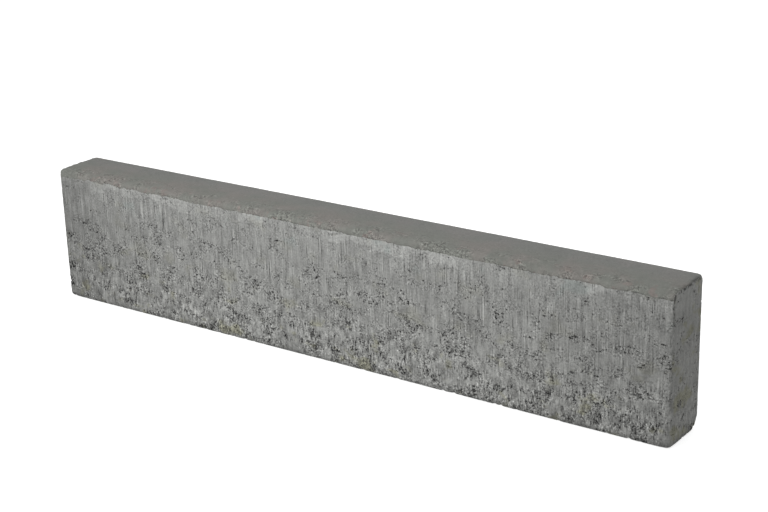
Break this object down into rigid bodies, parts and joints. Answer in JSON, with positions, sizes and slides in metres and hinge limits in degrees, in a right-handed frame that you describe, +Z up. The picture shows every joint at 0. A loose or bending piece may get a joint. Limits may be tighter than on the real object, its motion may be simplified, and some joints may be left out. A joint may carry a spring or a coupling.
{
  "type": "concrete kerb stone",
  "caption": "Long upright concrete kerb stone, pressed in one piece, with an eased front shoulder and softened edges, that holds and lines the edge of paving.",
  "frame": {"origin": "centre of the underside", "axes": "+Z up, X along the stone, -Y out of the front face, which has the eased shoulder"},
  "size_m": [1, 0.08, 0.2],
  "materials": {
    "concrete": "matte"
  },
  "bodies": {
    "root": {"kerb_stone": "concrete"}
  },
  "joints": []
}
